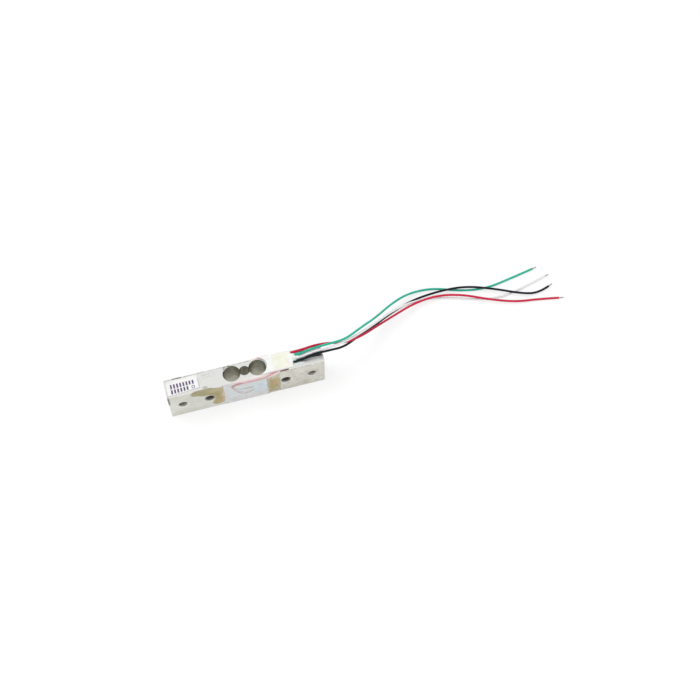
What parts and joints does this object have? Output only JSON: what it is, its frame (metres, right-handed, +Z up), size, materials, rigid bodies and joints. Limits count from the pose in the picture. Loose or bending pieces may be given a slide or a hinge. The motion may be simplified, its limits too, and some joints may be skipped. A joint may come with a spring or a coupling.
{
  "type": "single point load cell",
  "caption": "Small binocular-beam load cell with tapped mounting holes at each end, foil strain gauges under film, a sealed terminal board and loose colour-coded leads.",
  "frame": {"origin": "middle of the narrow face that the beam lies on", "axes": "+X along the beam towards the end where the leads leave, +Y through the beam's depth from the front measuring face to the rear one, along the direction of load, +Z up along the binocular bores"},
  "size_m": [0.1276, 0.0232, 0.0147],
  "materials": {
    "beam_aluminium": "milled and lightly tumbled, satin, a little worn at the corners",
    "gauge_carrier": "thin polyimide film",
    "gauge_foil": "etched constantan foil, dull",
    "clear_film": "thin translucent bluish coating",
    "tinned_copper": "bright tin",
    "solder": "bright solder",
    "red_enamel": "red lacquer on fine copper wire",
    "board": "glass fibre laminate",
    "copper_pad": "bare copper",
    "silicone": "white silicone sealant, soft gloss",
    "cream_tape": "cream paper tape",
    "label_paper": "white coated paper with plain printed bars",
    "dried_adhesive": "dried tan adhesive, thin and uneven",
    "red_insulation": "soft drawn insulation",
    "green_insulation": "soft drawn insulation",
    "white_insulation": "soft drawn insulation",
    "black_insulation": "soft drawn insulation"
  },
  "bodies": {
    "root": {"beam": "beam_aluminium", "black_lead": "black_insulation", "black_lead_joint": "solder", "black_lead_tip": "tinned_copper", "enamel_wire_joints": "solder", "front_adhesive_left": "dried_adhesive", "front_adhesive_right": "dried_adhesive", "front_enamelled_wire_1": "red_enamel", "front_enamelled_wire_2": "red_enamel", "front_enamelled_wire_3": "red_enamel", "front_gauge_film": "clear_film", "front_gauge_link": "tinned_copper", "front_gauge_solder": "solder", "front_left_gauge_carrier": "gauge_carrier", "front_left_gauge_foil": "gauge_foil", "front_right_gauge_carrier": "gauge_carrier", "front_right_gauge_foil": "gauge_foil", "green_lead": "green_insulation", "green_lead_joint": "solder", "green_lead_tip": "tinned_copper", "label": "label_paper", "rear_enamelled_wire_1": "red_enamel", "rear_enamelled_wire_2": "red_enamel", "rear_enamelled_wire_3": "red_enamel", "rear_gauge_film": "clear_film", "rear_gauge_link": "tinned_copper", "rear_gauge_solder": "solder", "rear_left_gauge_carrier": "gauge_carrier", "rear_left_gauge_foil": "gauge_foil", "rear_right_gauge_carrier": "gauge_carrier", "rear_right_gauge_foil": "gauge_foil", "red_lead": "red_insulation", "red_lead_joint": "solder", "red_lead_tip": "tinned_copper", "sealant": "silicone", "sealant_tape": "cream_tape", "terminal_board": "board", "terminal_pads": "copper_pad", "white_lead": "white_insulation", "white_lead_joint": "solder", "white_lead_tip": "tinned_copper"}
  },
  "joints": []
}
